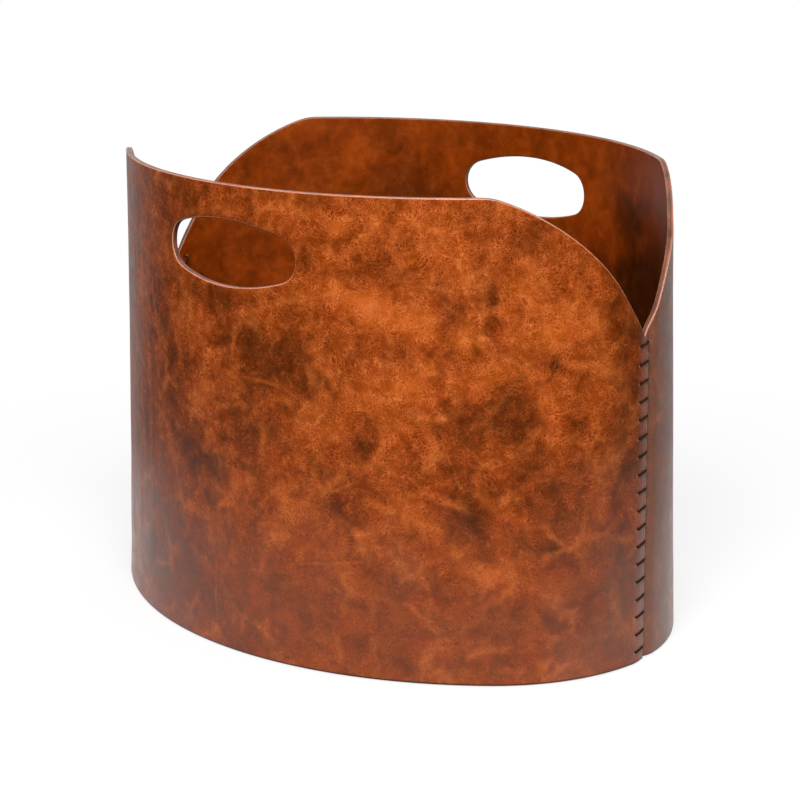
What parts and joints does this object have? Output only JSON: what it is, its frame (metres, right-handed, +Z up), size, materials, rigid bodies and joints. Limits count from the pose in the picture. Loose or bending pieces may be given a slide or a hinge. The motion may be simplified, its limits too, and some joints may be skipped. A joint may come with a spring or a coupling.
{
  "type": "log bucket",
  "caption": "Oval leather log bucket with two lapped, whip-stitched walls, a hand slot in each wall, notched ends and a flat floor.",
  "frame": {"origin": "centre of the bucket's base, on the floor it stands on", "axes": "+Z up; +X along the oval's long axis, towards the end where the front wall laps outside; the front wall faces -Y"},
  "size_m": [0.483, 0.3528, 0.3431],
  "materials": {
    "outer_leather": "waxed pull-up leather, mottled tan and dark brown, semi-gloss",
    "lining_leather": "smooth dyed leather, satin",
    "waxed_thread": "waxed linen thread, almost black",
    "plywood": "birch plywood, unfinished",
    "underside_leather": "flesh side of leather, matt",
    "steel_tack": "blued steel, dull"
  },
  "bodies": {
    "root": {"front_outer_leather": "outer_leather", "front_lining": "lining_leather", "rear_outer_leather": "outer_leather", "rear_lining": "lining_leather", "right_seam_thread": "waxed_thread", "left_seam_thread": "waxed_thread", "floor_board": "plywood", "floor_top_leather": "lining_leather", "floor_underside_leather": "underside_leather", "floor_tacks": "steel_tack"}
  },
  "joints": []
}
